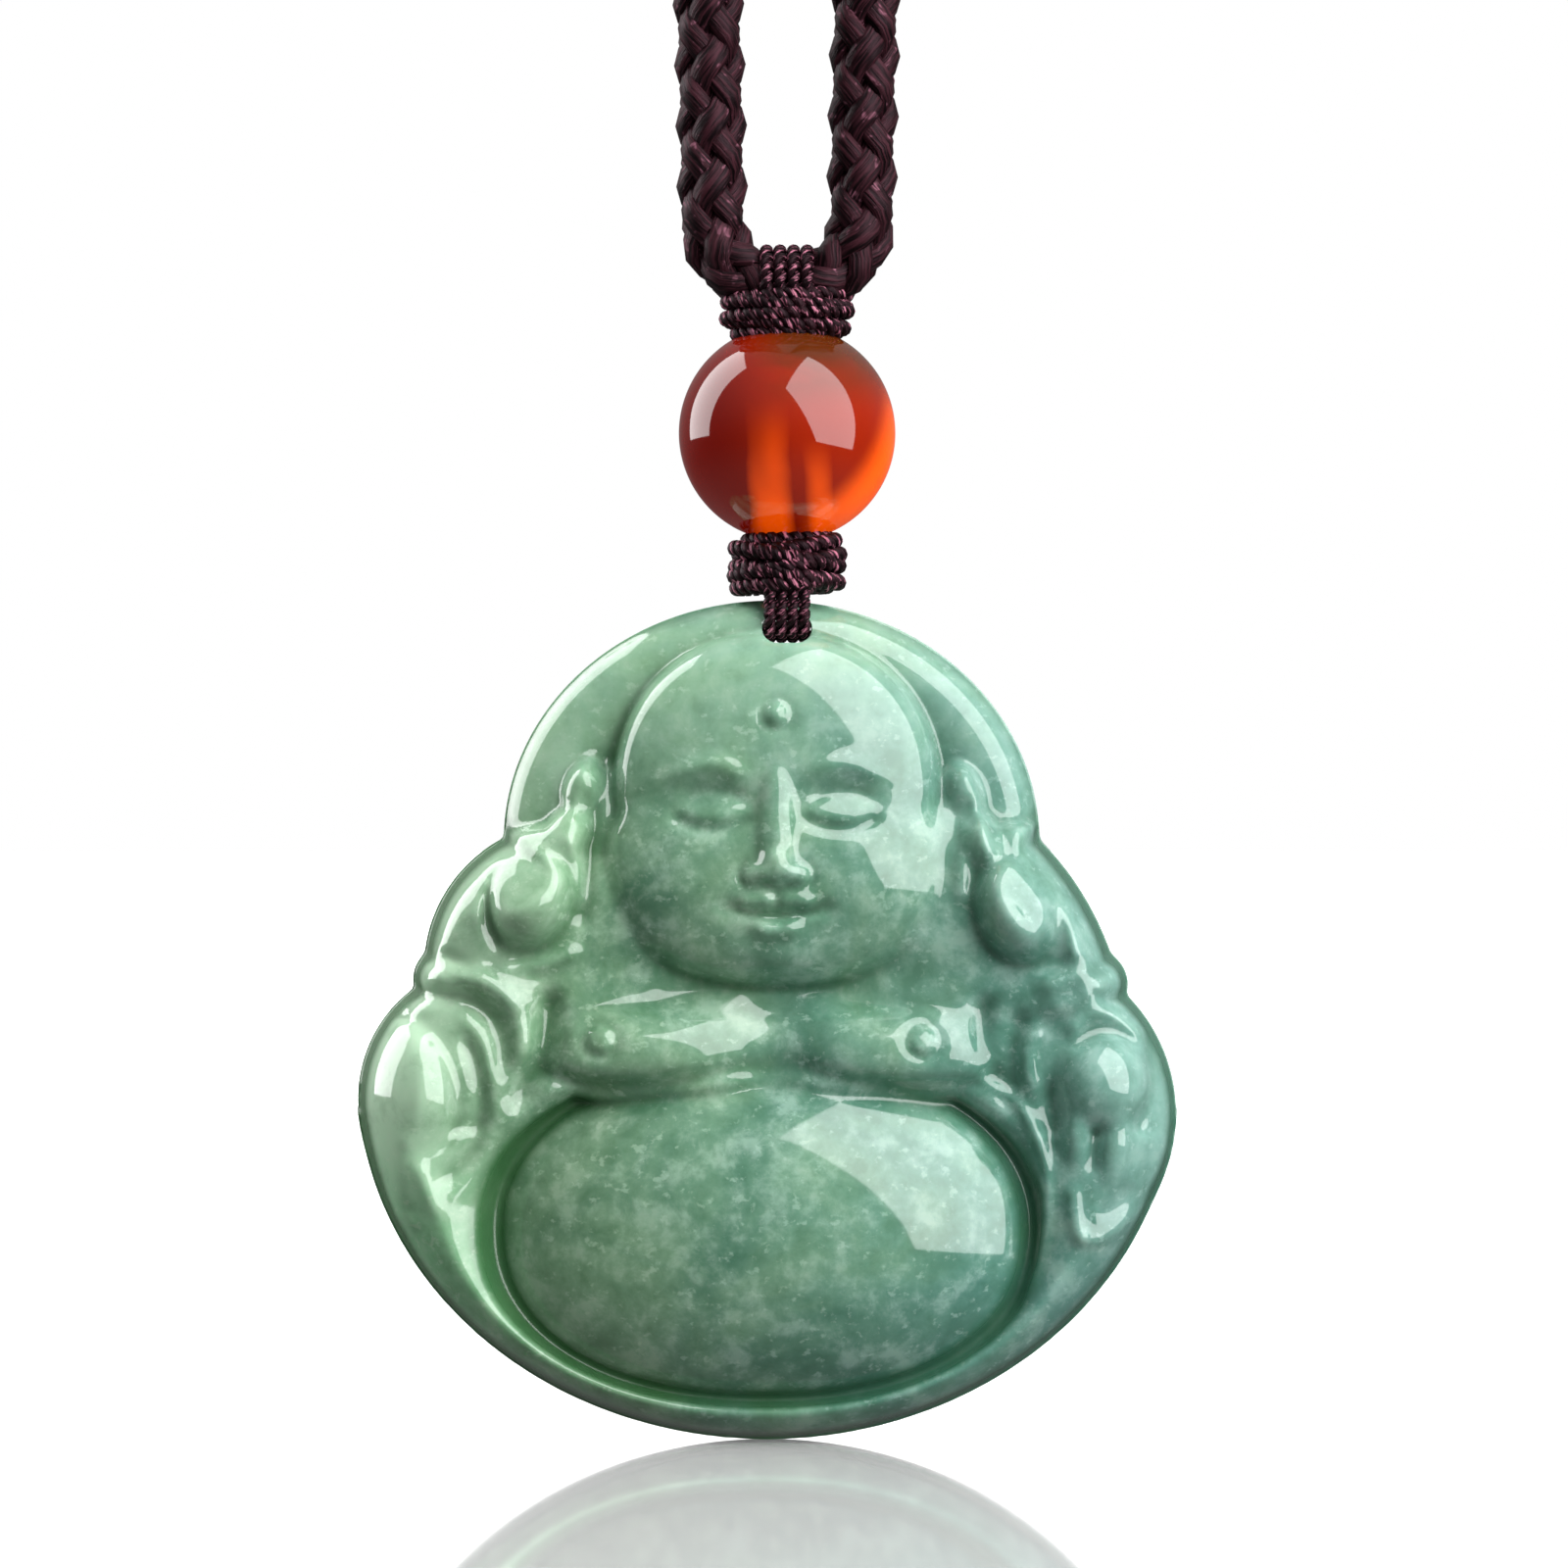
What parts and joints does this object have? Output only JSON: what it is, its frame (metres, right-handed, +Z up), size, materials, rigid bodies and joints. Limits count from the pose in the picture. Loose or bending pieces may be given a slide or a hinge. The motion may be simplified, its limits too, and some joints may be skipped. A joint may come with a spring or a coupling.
{
  "type": "jade buddha pendant necklace with an agate bead and a braided cord",
  "caption": "Carved jade figure pendant with a drilled rim, an agate bead, knotted threads and a closed braided cord loop, shown hanging.",
  "frame": {"origin": "the point that the necklace hangs from, on the inner side of the cord loop's top bend, straight above the bead and the pendant's slot", "axes": "+Z up, +X to the right as seen from the front, the carved face looks towards -Y"},
  "size_m": [0.0377, 0.0115, 0.3544],
  "materials": {
    "jade": "polished, translucent, cloudy green",
    "agate": "polished, translucent, orange red with darker bands",
    "thread": "twisted polished thread, very dark maroon",
    "cord": "round braid of silky fibre strands, very dark maroon"
  },
  "bodies": {
    "root": {"jade_pendant": "jade", "agate_bead": "agate", "bead_thread": "thread", "upper_knot": "thread", "lower_knot": "thread", "hanging_thread": "thread", "braided_cord": "cord"}
  },
  "joints": []
}
